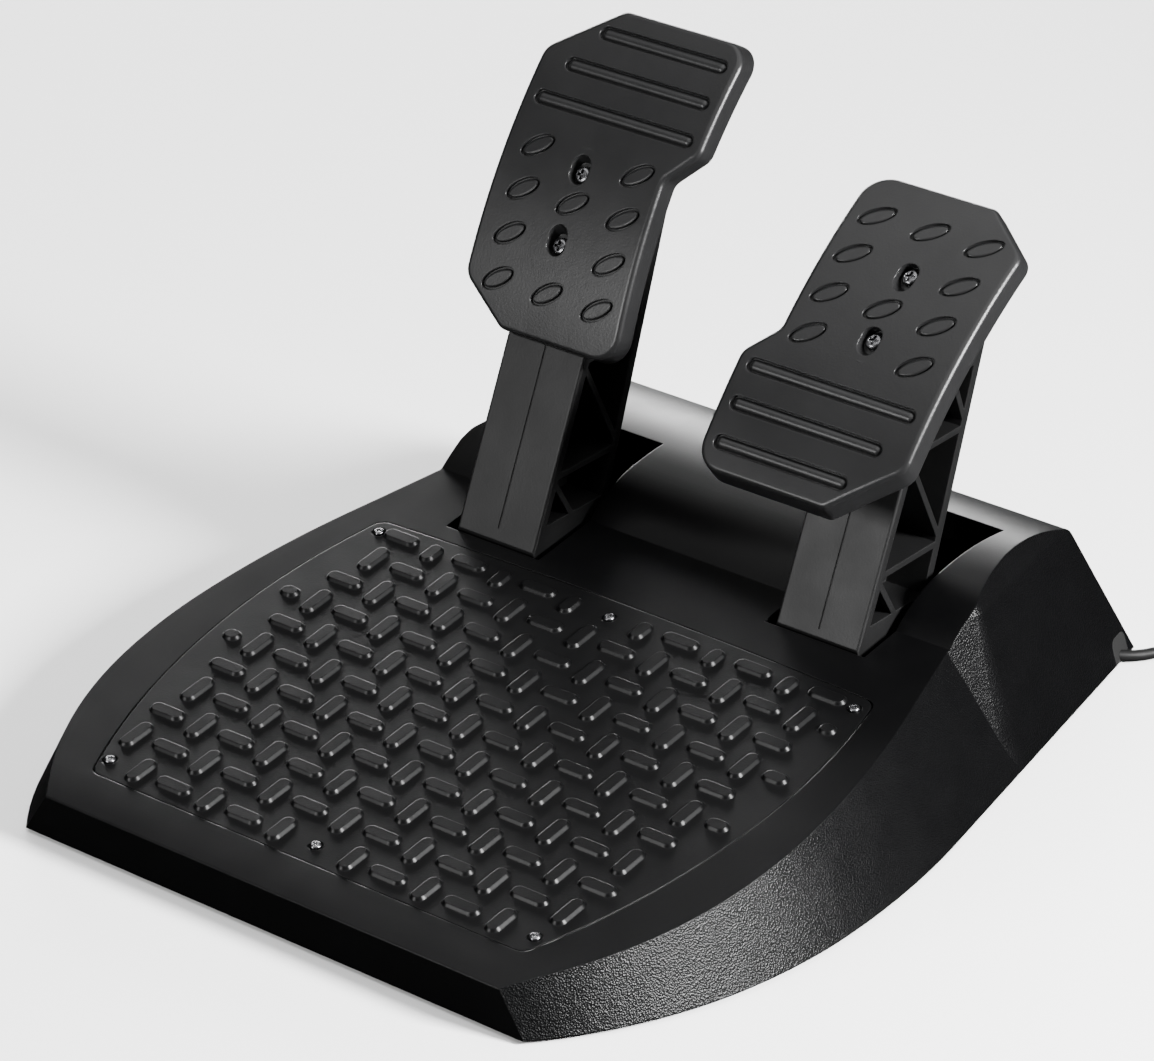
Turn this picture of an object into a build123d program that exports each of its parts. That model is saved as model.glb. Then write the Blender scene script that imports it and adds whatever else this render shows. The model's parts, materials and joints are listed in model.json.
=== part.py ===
from build123d import *
import math
import os

# Two-pedal floor unit for a racing wheel. Millimetres and degrees. +X is the driver's right,
# -Y faces the driver, +Z is up, and z = 0 is the floor under the middle of the base.

# ---- the base -----------------------------------------------------------------------------
BASE_LENGTH = 328.5
HALF_LENGTH = BASE_LENGTH / 2
WALL = 3.0
LIFT = 1.5  # height of the housing's bottom edge above the floor
SIDE_DRAFT = 25.5
WIDEST_X = 143.5
WIDEST_Y = -52.0
REAR_RADIUS = 340.0  # plan of the bottom edge behind the widest point
REAR_TURN = 11.5
FRONT_RADIUS = 200.0  # and in front of it
FRONT_TURN = 12.5
TIP_RADIUS = 155.0
TIP_TURN = 42.0
PRISM_RISE = 70.0  # more than the height of the base

FRONT_HEIGHT = 15.9  # the deck at the front face, above the bottom edge
FRONT_DROP = 0.7  # how far the deck rolls down to the front face
FRONT_ROLL = 14.0  # over this distance
DECK_SLOPE = 8.0
CREASE_Y = 50.7  # where the flat deck ends and the hump begins
HUMP_SHOULDER = (76.0, 58.3)  # (y, height above the bottom edge)
HUMP_TOP = (97.0, 60.1)
HUMP_CREST = (138.5, 51.7)
HUMP_DRAFT = 18.0
HUMP_FRONT_Y = 20.0
HUMP_FRONT_HALF = 116.2
HUMP_CORNER_Y = 66.0
HUMP_CORNER_RADIUS = 25.0
BEVEL_DRAFT = 35.6
BEVEL_START = 53.5  # height above the bottom edge where the hump's side bevel begins

COVER_THICK = 2.5
COVER_GAP = 0.3

# ---- the tread plate, its coordinates across and along the sloping deck -------------------
PLATE_RECESS = 1.5
PLATE_GAP = 0.4
PLATE_FRONT = 17.3  # along the deck from its front edge
PLATE_REAR = 180.2
PLATE_REAR_BULGE = 2.8
PLATE_FRONT_HALF = 89.5
PLATE_REAR_HALF = 104.0
PLATE_BULGE = 13.7
PLATE_SCREWS = [(-89.0, 25.2), (-0.8, 25.2), (88.0, 25.2)]
PLATE_SCREWS += [(x, 174.2) for x in (-100.3, 0.0, 100.3)]
TREAD_PITCH = 15.0
TREAD_FIRST_ROW = 25.2
TREAD_SHIFT = -1.0
TREAD_LENGTH = 14.6
TREAD_WIDTH = 6.0
TREAD_HEIGHT = 1.1
TREAD_MARGIN = 5.0
TREAD_SHORTEST = 0.6  # of a cut bar, between the centres of its round ends
TREAD_SIDE_LIMIT = 96.0  # no lengthwise bar is farther out than this

# ---- fasteners and feet -------------------------------------------------------------------
SCREW_HEAD_RADIUS = 1.9
HOUSING_SCREWS = [
    (-84.0, -140.0), (84.0, -140.0), (-122.0, -46.0), (122.0, -46.0),
    (-104.0, 62.0), (104.0, 62.0), (0.0, 138.0), (0.0, -60.0),
]
FEET = [
    (-112.0, -95.0), (112.0, -95.0), (-118.0, 20.0), (118.0, 20.0), (-88.0, 138.0), (88.0, 138.0),
]
FOOT_RADIUS = 8.0

# ---- arms, pivots and gears ---------------------------------------------------------------
ARM_WIDTH = 33.5
ARM_FRONT_ANGLE = 66.4
ARM_REAR_ANGLE = 71.5
ARM_FRONT_POINT = (24.7, 44.3)  # (y, z) on the arm's front face
ARM_REAR_POINT = (72.2, 73.2)
ARM_SKIN = 3.4
ARM_WEB = 3.0
RIB_STEP = 37.5  # height between the arm's level ribs
RIB_FIRST = 68.0
RIB_THICK = 2.2
ARM_EDGE = 1.0
PARTING_WIDTH = 0.4
PARTING_DEPTH = 0.27
PIVOT_Y = 36.0
PIVOT_Z = 21.5
HUB_RADIUS = 13.0

AXLE_RADIUS = 4.0
BUSH_RADIUS = 6.0
RUNNING_GAP = 0.05

GEAR_MODULE = 1.0
SECTOR_TEETH = 48
PINION_TEETH = 12
SECTOR_THICK = 4.0
TOOTH_HALF = 0.225  # half of a tooth at the pitch circle, as a share of the pitch

# ---- pads, with u across and s up the curved face from the middle of the seat -------------
PAD_CURVE = 226.0  # radius of the pad's face
PAD_DEPTH = 8.0
PAD_FACE = 3.0
PAD_RIM = 1.8
PAD_GROOVE = 1.2
PAD_MOVE = (4.1, 13.3)  # from the middle of the tread pattern to the middle of the seat
# Ends across the pad and height of each long bar, from the middle of the tread pattern.
PAD_BARS = [(-16.2, 32.0, 48.0), (-23.6, 31.8, 34.2), (-30.0, 31.9, 20.5)]
BAR_WIDTH = 5.4
RIDGE_RADIUS = 2.3
OVAL = (7.0, 3.3)
OVAL_ISLAND = (6.1, 2.45)
OVAL_TURN = 34.0
WELL_RADIUS = 3.8
WELL_FLOOR = 4.4
WELL_LEAN = (0.0, 3.4, 5.4)
PAD_SEAT = 7.0  # how far below the face the pad sits on its arm
SCREW_PITCH = 25.1
HEAD_LENGTH = 40.0

# One entry for each pedal: name, centre of the arm in X, shift of the whole pedal in Y,
# middle of the pad's seat (y, z) on its face, tilt of the face there, whether the pad is
# turned upside down, side of the gears, slot along Y, travel, spring wire and stop.
BRAKE = dict(
    name="brake", x=-62.4, shift=0.0, seat=(63.2, 153.3), tilt=60.8, turned=False,
    inner=1, slot=(23.0, 91.2), travel=18, wire=2.0, plug_length=12.0,
)
ACCELERATOR = dict(
    name="accelerator", x=65.7, shift=9.4, seat=(70.5, 152.2), tilt=39.0, turned=True,
    inner=-1, slot=(33.2, 111.9), travel=25, wire=1.5, plug_length=8.0,
)
PEDALS = (BRAKE, ACCELERATOR)
SLOT_HALF = 20.3

# ---- return springs -----------------------------------------------------------------------
SPRING_OD = 14.0
SPRING_TURNS = 7
SPRING_LENGTH = 28.0
SPRING_TILT = 68.0
SPRING_SEAT = (28.0, 17.0)  # on the arm, from the pivot

# ---- cable --------------------------------------------------------------------------------
CABLE_RADIUS = 2.0
CABLE_ROUTE = [
    (101.6, 149.7, 3.2), (111.0, 156.6, 2.2), (116.3, 167.4, 2.0), (125.2, 176.9, 2.0),
    (131.3, 190.6, 2.1), (132.3, 204.6, 2.8),
]
INNER_ROUTE = [
    (101.6, 149.7, 3.2), (91.0, 143.4, 6.2), (76.0, 139.8, 6.2), (58.0, 133.0, 6.2),
    (38.0, 126.0, 6.6), (18.0, 119.0, 9.0), (5.0, 107.0, 13.0), (0.0, 94.0, 13.4),
    (0.0, 81.0, 13.2),
]
TAIL_ROUTE = [
    (188.5, 213.0, 9.5), (193.8, 203.0, 6.6), (195.0, 191.5, 4.0), (194.6, 181.5, 3.4),
]
COIL_CENTRE = (160.8, 204.6)
COIL_MIDDLE = 22.5  # middle radius of the wound ring
COIL_ACROSS = 16.0  # width of the ring's section
COIL_HEIGHT = 12.0
TIE_THICK = 0.8
NOTCH_Y = (148.8, 159.4)  # the cable's opening in the housing's right side
NOTCH_HEIGHT = 8.5

DECK = Plane(
    origin=(0, -HALF_LENGTH, FRONT_HEIGHT + LIFT),
    x_dir=(1, 0, 0),
    z_dir=(0, -math.sin(math.radians(DECK_SLOPE)), math.cos(math.radians(DECK_SLOPE))),
)
COVER_TOP = LIFT + COVER_THICK

BOARD_CENTRE = (0.0, 78.0)
BOARD_POSTS = [(-20.0, 64.0), (20.0, 64.0), (-20.0, 92.0), (20.0, 92.0)]
BOARD_LOW = COVER_TOP + 5.0
CLAMP_SCREWS = [(84.0, 134.5), (84.0, 148.5)]

nodes = {}


def keep(name, shape):
    nodes[name] = shape


def side_plane(x):
    """A sketch plane whose local x, y are the world's y, z, at the given x."""
    return Plane(origin=(x, 0, 0), x_dir=(0, 1, 0), z_dir=(1, 0, 0))


def slab(x_low, x_high, sketch_face):
    """Extrudes a (y, z) outline between two x values."""
    return extrude(side_plane(x_low) * sketch_face, amount=x_high - x_low)


def rod(radius, start, end):
    """A round bar between two points."""
    a = Vector(*start)
    b = Vector(*end)
    return extrude(Plane(origin=a, z_dir=b - a) * Circle(radius), amount=(b - a).length)


def pillar(x, y, low, high, radius):
    """An upright round post or bore."""
    return rod(radius, (x, y, low), (x, y, high))


def block(x, y, z):
    """A box from (low, high) pairs."""
    size = (x[1] - x[0], y[1] - y[0], z[1] - z[0])
    centre = ((x[0] + x[1]) / 2, (y[0] + y[1]) / 2, (z[0] + z[1]) / 2)
    return Pos(*centre) * Box(*size)


def deck_height(y):
    return LIFT + FRONT_HEIGHT + (y + HALF_LENGTH) * math.tan(math.radians(DECK_SLOPE))


# ---- the housing's outline ----------------------------------------------------------------
def arc_end(start, heading, radius, turn):
    """Where an arc ends that starts at a heading (0 = +Y) and turns by turn towards -X."""
    x, y, way = start[0], start[1], 1 if turn > 0 else -1
    h0 = math.radians(heading)
    h1 = math.radians(heading + turn)
    x += way * radius * (math.cos(h1) - math.cos(h0))
    y += way * radius * (math.sin(h1) - math.sin(h0))
    return (x, y)


def mirror_y(point, y):
    """Turns a point built rearwards from y = 0 into one built forwards from y."""
    return (point[0], y - point[1])


def rear_half_width(y):
    """Half width of the bottom edge where it narrows straight to the rear."""
    x0, y0 = arc_end((WIDEST_X, WIDEST_Y), 0, REAR_RADIUS, REAR_TURN)
    return x0 - (y - y0) * math.tan(math.radians(REAR_TURN))


def floor_outline(inset):
    """Barrel-shaped plan of the bottom edge, moved inwards by inset; it runs past the front."""
    widest = (WIDEST_X - inset, WIDEST_Y)
    start = (widest[0], 0)
    radius = FRONT_RADIUS - inset
    mid_front = mirror_y(arc_end(start, 0, radius, FRONT_TURN / 2), WIDEST_Y)
    front = mirror_y(arc_end(start, 0, radius, FRONT_TURN), WIDEST_Y)
    start = (front[0], 0)
    radius = TIP_RADIUS - inset
    mid_tip = mirror_y(arc_end(start, FRONT_TURN, radius, TIP_TURN / 2), front[1])
    tip = mirror_y(arc_end(start, FRONT_TURN, radius, TIP_TURN), front[1])
    mid_rear = arc_end(widest, 0, REAR_RADIUS - inset, REAR_TURN / 2)
    rear = arc_end(widest, 0, REAR_RADIUS - inset, REAR_TURN)
    back_y = HALF_LENGTH + 12
    back = (rear[0] - (back_y - rear[1]) * math.tan(math.radians(REAR_TURN)), back_y)
    edges = Curve() + [
        Line((0, tip[1]), tip),
        ThreePointArc(tip, mid_tip, front),
        ThreePointArc(front, mid_front, widest),
        ThreePointArc(widest, mid_rear, rear),
        Line(rear, back),
        Line(back, (0, back_y)),
    ]
    return make_face(edges + mirror(edges, Plane.YZ))


def hump_outline(inset):
    """Plan of the hump's own, steeper sides at the bottom edge, moved inwards by inset."""
    corner_x = rear_half_width(HUMP_CORNER_Y)
    back_y = HALF_LENGTH + 12
    right = [
        (HUMP_FRONT_HALF, HUMP_FRONT_Y),
        (corner_x, HUMP_CORNER_Y),
        (rear_half_width(back_y), back_y),
    ]
    left = [(-x, y) for x, y in reversed(right)]
    face = make_face(Polyline(*right, *left, close=True))
    for side in (-1, 1):
        corner = face.vertices().sort_by_distance(Vector(side * corner_x, HUMP_CORNER_Y))[0]
        face = fillet(corner, HUMP_CORNER_RADIUS)
    return offset(face, -inset, kind=Kind.INTERSECTION) if inset else face


def profile(inset, low):
    """Side view of the base: front face, deck, hump and sloping back, moved inwards."""
    crease = (CREASE_Y, deck_height(CREASE_Y) - LIFT)
    rise = (CREASE_Y + 9.8, crease[1] + 7.2)
    front_top = (-HALF_LENGTH, FRONT_HEIGHT - FRONT_DROP)
    mid_y = -HALF_LENGTH + FRONT_ROLL / 2
    roll_mid = (mid_y, deck_height(mid_y) - LIFT - FRONT_DROP / 4)
    roll_y = -HALF_LENGTH + FRONT_ROLL
    roll_end = (roll_y, deck_height(roll_y) - LIFT)
    foot = (HALF_LENGTH, 0)
    edges = Curve() + [
        Line((-HALF_LENGTH, -20), front_top),
        ThreePointArc(front_top, roll_mid, roll_end),
        Line(roll_end, crease),
        ThreePointArc(crease, rise, HUMP_SHOULDER),
        ThreePointArc(HUMP_SHOULDER, HUMP_TOP, HUMP_CREST),
        Line(HUMP_CREST, foot),
        Line(foot, (HALF_LENGTH + 10, -20)),
        Line((HALF_LENGTH + 10, -20), (-HALF_LENGTH, -20)),
    ]
    face = make_face(edges)
    crest = face.vertices().sort_by_distance(Vector(*HUMP_CREST))[0]
    face = fillet(crest, 6.0)
    if inset:
        face = offset(face, -inset, kind=Kind.INTERSECTION)
    keep_above = Pos(0, low + 100) * Rectangle(500, 200)
    return Pos(0, LIFT) * (face & keep_above)


def drafted_prism(outline, inset, low, draft, swell=0.0):
    """An outline of the bottom edge drawn upwards with sloping sides, from the height low."""
    slope = math.tan(math.radians(draft))
    plan = outline(inset / math.cos(math.radians(draft)) + low * slope - swell)
    return extrude(Pos(0, 0, LIFT + low) * plan, amount=PRISM_RISE, taper=draft)


def base_body(inset, low):
    """The whole base as a solid, or its cavity when inset is the wall's thickness."""
    front = drafted_prism(floor_outline, inset, low, SIDE_DRAFT)
    hump = drafted_prism(hump_outline, inset, low, HUMP_DRAFT)
    slopes = [math.tan(math.radians(draft)) for draft in (HUMP_DRAFT, BEVEL_DRAFT)]
    swell = BEVEL_START * (slopes[1] - slopes[0])
    bevel = drafted_prism(hump_outline, inset, low, BEVEL_DRAFT, swell)
    return (front + (hump & bevel)) & slab(-160, 160, profile(inset, low))


# ---- tread plate --------------------------------------------------------------------------
def plate_face(grow):
    """Outline of the tread plate in the deck's plane."""
    front = PLATE_FRONT - grow
    rear = PLATE_REAR + grow
    front_half = PLATE_FRONT_HALF + grow
    rear_half = PLATE_REAR_HALF + grow
    middle = ((front_half + rear_half) / 2 + PLATE_BULGE, (front + rear) / 2)
    right = ThreePointArc((front_half, front), middle, (rear_half, rear))
    edges = Curve() + [
        right,
        mirror(right, Plane.YZ),
        Line((-front_half, front), (front_half, front)),
        ThreePointArc((-rear_half, rear), (0, rear + PLATE_REAR_BULGE), (rear_half, rear)),
    ]
    face = make_face(edges)
    return fillet(face.vertices(), 5.0)


def plate_half_width(v):
    """Half width of the tread plate at a distance v along the deck."""
    length = PLATE_REAR - PLATE_FRONT
    radius = length**2 / (8 * PLATE_BULGE) + PLATE_BULGE / 2
    t = (v - PLATE_FRONT) / length
    chord = PLATE_FRONT_HALF + (PLATE_REAR_HALF - PLATE_FRONT_HALF) * t
    return chord + PLATE_BULGE - (v - PLATE_FRONT - length / 2) ** 2 / (2 * radius)


def tread_bar(x, v, along_x):
    """Ends of one tread bar, shortened where it would run off the plate, or None."""
    reach = (TREAD_LENGTH - TREAD_WIDTH) / 2
    half = plate_half_width(v)
    if along_x:
        limit = half - TREAD_MARGIN - TREAD_WIDTH / 2
        low = max(x - reach, -limit)
        high = min(x + reach, limit)
        ends = ((low, v), (high, v))
        room = v <= PLATE_REAR - TREAD_MARGIN + 0.5
    else:
        low = max(v - reach, PLATE_FRONT + TREAD_MARGIN)
        high = min(v + reach, PLATE_REAR - TREAD_MARGIN)
        ends = ((x, low), (x, high))
        room = abs(x) <= min(half - TREAD_MARGIN - 1.0, TREAD_SIDE_LIMIT)
    if not room or high - low < TREAD_SHORTEST:
        return None
    for sx, sv in PLATE_SCREWS:
        near_x = min(max(sx, ends[0][0]), ends[1][0])
        near_v = min(max(sv, ends[0][1]), ends[1][1])
        if math.hypot(near_x - sx, near_v - sv) < TREAD_WIDTH / 2 + SCREW_HEAD_RADIUS + 0.1:
            return None
    return ends


def tread_bars():
    bars = []
    for n in range(0, 11):
        v = TREAD_FIRST_ROW + n * TREAD_PITCH
        for m in range(-8, 9):
            ends = tread_bar(m * TREAD_PITCH + TREAD_SHIFT, v, (m + n) % 2 == 0)
            if ends:
                bars.append(ends)
    return bars


def slot_prism(a, b, width, height, taper):
    """A round-ended bar between two points of a plane, standing on it."""
    centre = ((a[0] + b[0]) / 2, (a[1] + b[1]) / 2)
    length = math.hypot(b[0] - a[0], b[1] - a[1])
    angle = math.degrees(math.atan2(b[1] - a[1], b[0] - a[0]))
    face = Pos(*centre) * Rot(0, 0, angle) * SlotCenterToCenter(length, width)
    return extrude(face, amount=height, taper=taper)


def make_tread_plate():
    plate = extrude(plate_face(0), amount=-PLATE_RECESS)
    holes = [pillar(x, v, -5, 1, 1.3) for x, v in PLATE_SCREWS]
    seats = [pillar(x, v, -0.4, 1, SCREW_HEAD_RADIUS + 0.6) for x, v in PLATE_SCREWS]
    sunk = 0.05
    height = TREAD_HEIGHT + sunk
    bars = [Pos(0, 0, -sunk) * slot_prism(a, b, TREAD_WIDTH, height, 38) for a, b in tread_bars()]
    keep("tread_plate", DECK * ((plate - holes - seats) + bars))


# ---- fasteners ----------------------------------------------------------------------------
def pan_screw(head_radius, head_height, shank_radius, shank_length):
    """A cross-recessed pan head screw, its head's underside at z = 0, pointing down."""
    head = Cylinder(head_radius, head_height, align=(Align.CENTER, Align.CENTER, Align.MIN))
    head = fillet(head.edges().sort_by(Axis.Z)[-1], head_height * 0.6)
    arm = head_radius * 1.15
    width = head_radius * 0.3
    deep = head_height * 0.55
    for angle in (0, 90):
        bar = Rot(0, 0, angle) * Box(arm, width, deep * 2)
        head -= Pos(0, 0, head_height) * bar
    shank = Cylinder(
        shank_radius, shank_length, align=(Align.CENTER, Align.CENTER, Align.MAX)
    )
    tip = shank.edges().sort_by(Axis.Z)[0]
    return head + chamfer(tip, shank_radius * 0.5)


def make_plate_screws():
    screw = pan_screw(SCREW_HEAD_RADIUS, 1.2, 1.1, 5.0)
    placed = [Pos(x, v, -0.4) * screw for x, v in PLATE_SCREWS]
    keep("tread_plate_screws", DECK * Compound(children=placed))


def make_housing_screws():
    screw = Rot(180, 0, 0) * pan_screw(2.8, 1.6, 1.4, 9.0)
    placed = [Pos(x, y, LIFT + 1.6) * screw for x, y in HOUSING_SCREWS]
    keep("housing_screws", Compound(children=placed))


def make_feet():
    foot = Cylinder(FOOT_RADIUS, 2.7, align=(Align.CENTER, Align.CENTER, Align.MIN))
    foot = fillet(foot.edges().sort_by(Axis.Z)[0], 0.6)
    keep("rubber_feet", Compound(children=[Pos(x, y, 0) * foot for x, y in FEET]))


# ---- top housing --------------------------------------------------------------------------
def slot_box(pedal):
    x = (pedal["x"] - SLOT_HALF, pedal["x"] + SLOT_HALF)
    return block(x, pedal["slot"], (20, 90))


def notch():
    """Opening for the cable at the rear of the right side."""
    cutter = block((99, 130), NOTCH_Y, (-5, LIFT + NOTCH_HEIGHT))
    return fillet(cutter.edges().filter_by(Axis.X).sort_by(Axis.Z)[-2:], 3.0)


def make_top_housing():
    outer = base_body(0, 0)
    plug = notch() & outer
    rim = outer.edges().filter_by(lambda e: e.center().Y < -HALF_LENGTH + 0.01)
    outer = fillet(rim.sort_by(Axis.Z)[-1], 0.6)
    shell = outer - base_body(WALL, -1.0)
    shell = shell - DECK * extrude(plate_face(PLATE_GAP), amount=-PLATE_RECESS)
    shell = shell - DECK * extrude(plate_face(PLATE_GAP), amount=5)
    for pedal in PEDALS:
        shell = shell - slot_box(pedal)
    shell = shell - notch()
    cavity = base_body(WALL - 0.5, -1.0)
    bosses = []
    for x, y in HOUSING_SCREWS:
        bosses.append(pillar(x, y, COVER_TOP, COVER_TOP + 70, 4.5) & cavity)
    for x, v in PLATE_SCREWS:
        bosses.append((DECK * pillar(x, v, -10, -2, 3.0)) & cavity)
    for pedal in PEDALS:
        bosses.append(slot_skirt(pedal) & cavity)
    shell = shell + bosses
    bores = [pillar(x, y, LIFT, LIFT + 16, 1.4) for x, y in HOUSING_SCREWS]
    bores += [DECK * pillar(x, v, -9, 1, 1.1) for x, v in PLATE_SCREWS]
    shell = shell - bores
    keep("top_housing", shell)
    keep("cable_grommet", plug)


def slot_skirt(pedal):
    """A wall round the slot, hanging under the top."""
    drop = 7.0
    x0 = pedal["x"] - SLOT_HALF
    x1 = pedal["x"] + SLOT_HALF
    y0, y1 = pedal["slot"]
    under = WALL + drop
    ring = block((x0 - 1.8, x1 + 1.8), (y0 - 1.8, y1 + 1.8), (20, 70))
    ring = ring - block((x0, x1), (y0, y1), (10, 80))
    lower = [
        (y0 - 4, deck_height(y0) - under),
        (CREASE_Y, deck_height(CREASE_Y) - under),
        (y1 + 4, HUMP_TOP[1] + 0.9 - under),
    ]
    upper = [(y1 + 4, 90.0), (y0 - 4, 90.0)]
    band = slab(x0 - 3, x1 + 3, make_face(Polyline(*lower, *upper, close=True)))
    return ring & band


# ---- bottom cover -------------------------------------------------------------------------
def bearing_x(pedal):
    """Inner faces and outer faces of the two bearing towers, as (low, high) pairs in x."""
    inner_near = ARM_WIDTH / 2 + SECTOR_THICK + 1.2
    outer_near = ARM_WIDTH / 2 + 1.0
    width = 7.0
    way = pedal["inner"]
    towers = []
    for sign, near in ((way, inner_near), (-way, outer_near)):
        a = pedal["x"] + sign * near
        b = pedal["x"] + sign * (near + width)
        towers.append((min(a, b), max(a, b)))
    return towers


def pivot(pedal):
    return (PIVOT_Y + pedal["shift"], PIVOT_Z)


def make_bottom_cover():
    inset = (WALL + COVER_GAP) / math.cos(math.radians(SIDE_DRAFT))
    plan = extrude(Pos(0, 0, LIFT) * floor_outline(inset), amount=COVER_THICK, taper=SIDE_DRAFT)
    cover = plan & slab(-160, 160, profile(WALL + COVER_GAP, -1.0))
    cover = cover - block((94, 130), (NOTCH_Y[0] - 2.0, NOTCH_Y[1] + 2.0), (-5, 20))
    towers = []
    cuts = []
    for pedal in PEDALS:
        y, z = pivot(pedal)
        for x in bearing_x(pedal):
            towers.append(block(x, (y - 10, y + 10), (COVER_TOP - 0.5, z)))
            cuts.append(rod(AXLE_RADIUS + 0.02, (x[0] - 1, y, z), (x[1] + 1, y, z)))
            for side in (-1, 1):
                cuts.append(pillar((x[0] + x[1]) / 2, y + side * 7.2, z - 9, z + 1, 1.0))
        towers.append(sensor_wall(pedal))
        towers.append(spring_tower(pedal))
        cuts.append(rod(3.52, sensor_point(pedal, 20), sensor_point(pedal, 40)))
        seat = spring_seat_point(pedal)
        cuts.append(rod(3.5, seat, move(seat, spring_direction(), 4.0)))
    for x, y in BOARD_POSTS:
        towers.append(pillar(x, y, COVER_TOP - 0.5, BOARD_LOW, 3.0))
        cuts.append(pillar(x, y, COVER_TOP - 1, COVER_TOP + 7, 1.0))
    for x, y in CLAMP_SCREWS:
        towers.append(pillar(x, y, COVER_TOP - 0.5, COVER_TOP + 3, 3.2))
        cuts.append(pillar(x, y, COVER_TOP - 1, COVER_TOP + 5, 1.0))
    for x, y in HOUSING_SCREWS:
        cuts.append(pillar(x, y, 0, COVER_TOP + 5, 1.6))
        cuts.append(pillar(x, y, 0, LIFT + 1.6, 3.3))
    for x, y in FEET:
        cuts.append(pillar(x, y, 0, LIFT + 1.2, FOOT_RADIUS))
    keep("bottom_cover", cover + towers - cuts)


def make_bearing_caps():
    caps = []
    screws = []
    screw = pan_screw(1.9, 1.3, 1.0, 11.0)
    for pedal in PEDALS:
        y, z = pivot(pedal)
        for x in bearing_x(pedal):
            cap = block(x, (y - 10, y + 10), (z, z + 7))
            cap = fillet(cap.edges().filter_by(Axis.X).sort_by(Axis.Z)[-2:], 3.0)
            cap = cap - rod(AXLE_RADIUS + 0.02, (x[0] - 1, y, z), (x[1] + 1, y, z))
            middle = (x[0] + x[1]) / 2
            for side in (-1, 1):
                screw_y = y + side * 7.2
                cap = cap - pillar(middle, screw_y, z - 2, z + 10, 1.05)
                cap = cap - pillar(middle, screw_y, z + 4, z + 8, 2.1)
                screws.append(Pos(middle, screw_y, z + 4) * screw)
            caps.append(cap)
    keep("bearing_caps", Compound(children=caps))
    keep("bearing_cap_screws", Compound(children=screws))


# ---- return springs -----------------------------------------------------------------------
def spring_direction():
    angle = math.radians(SPRING_TILT)
    return (0, math.cos(angle), -math.sin(angle))


def move(point, direction, distance):
    return tuple(p + d * distance for p, d in zip(point, direction))


def spring_top_point(pedal):
    y, z = pivot(pedal)
    return (pedal["x"], y + SPRING_SEAT[0], z + SPRING_SEAT[1])


def spring_seat_point(pedal):
    return move(spring_top_point(pedal), spring_direction(), SPRING_LENGTH)


def spring_tower(pedal):
    """Sloping block under the spring, rising from the cover."""
    seat = spring_seat_point(pedal)
    down = spring_direction()
    post = rod(9.0, seat, move(seat, down, 20))
    return post & block((-200, 200), (-200, 200), (COVER_TOP - 0.5, 60))


def make_springs():
    for pedal in PEDALS:
        seat = Vector(*spring_seat_point(pedal))
        up = Vector(*spring_direction()) * -1
        gap = 0.15
        wire = pedal["wire"] / 2
        height = SPRING_LENGTH - 2 * (wire + gap)
        helix = Helix(pitch=height / SPRING_TURNS, height=height, radius=SPRING_OD / 2 - wire)
        place = Plane(origin=seat + up * (wire + gap), x_dir=(1, 0, 0), z_dir=up)
        start = Plane(origin=helix @ 0, z_dir=helix % 0)
        spring = place * sweep(start * Circle(wire), path=helix, is_frenet=True)
        keep(pedal["name"] + "_return_spring", spring)
        foot = move(spring_seat_point(pedal), spring_direction(), 4.0)
        rubber = rod(3.5, foot, move(foot, tuple(up), pedal["plug_length"] + 4.0))
        top_edge = rubber.edges().filter_by(GeomType.CIRCLE).sort_by(Axis.Z)[-1]
        keep(pedal["name"] + "_stop_rubber", fillet(top_edge, 1.2))


# ---- arms ---------------------------------------------------------------------------------
def line_y(point, angle, z):
    """The y at height z of a line through point that rises rearwards at angle."""
    return point[0] + (z - point[1]) / math.tan(math.radians(angle))


def arm_profile(pedal, inset):
    """Side view of the tapered arm from its hub to its top, moved inwards by inset."""
    shift = pedal["shift"]
    low = 36.0 + inset
    high = 180.0
    lean_front = inset / math.sin(math.radians(ARM_FRONT_ANGLE)) + shift
    lean_rear = inset / math.sin(math.radians(ARM_REAR_ANGLE)) - shift
    bend = ARM_FRONT_POINT[1] + shift * math.tan(math.radians(DECK_SLOPE))
    bend_y = line_y(ARM_FRONT_POINT, ARM_FRONT_ANGLE, bend) + lean_front
    return [
        (bend_y, low),
        (bend_y, bend),
        (line_y(ARM_FRONT_POINT, ARM_FRONT_ANGLE, high) + lean_front, high),
        (line_y(ARM_REAR_POINT, ARM_REAR_ANGLE, high) - lean_rear, high),
        (line_y(ARM_REAR_POINT, ARM_REAR_ANGLE, low) - lean_rear, low),
    ]


def pad_frame(pedal):
    """Plane on the pad's face at the middle of its seat: x across, y up the face, z outwards."""
    tilt = math.radians(pedal["tilt"])
    way = -1 if pedal["turned"] else 1
    y, z = pedal["seat"]
    return Plane(
        origin=(pedal["x"], y, z),
        x_dir=(way, 0, 0),
        z_dir=(0, -math.sin(tilt), math.cos(tilt)),
    )


def arm_body(pedal):
    y, z = pivot(pedal)
    half = ARM_WIDTH / 2
    x0 = pedal["x"] - half
    x1 = pedal["x"] + half
    beam_points = arm_profile(pedal, 0)
    beam = slab(x0, x1, make_face(Polyline(*beam_points, close=True)))
    front_middle = [(a + b) / 2 for a, b in zip(beam_points[1], beam_points[2])]
    for x in (x0, x1):
        edge = beam.edges().sort_by_distance(Vector(x, *front_middle))[0]
        beam = fillet(edge, ARM_EDGE)
    front_low = beam_points[0]
    rear_low = beam_points[-1]
    root = make_face(
        Polyline(
            front_low,
            rear_low,
            (rear_low[0] - 1.0, z + 11.0),
            (y + 11.0, z + 4.0),
            (y - 11.0, z + 4.0),
            close=True,
        )
    )
    body = beam + slab(x0, x1, root) + rod(HUB_RADIUS, (x0, y, z), (x1, y, z))
    frame = pad_frame(pedal)
    upward = -1 if pedal["turned"] else 1
    beyond = frame * (Pos(0, upward * 50, 0) * Box(80, 60, 160))
    return (body - pad_envelope(frame, 0.4) - beyond) + arm_head(pedal)


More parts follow.
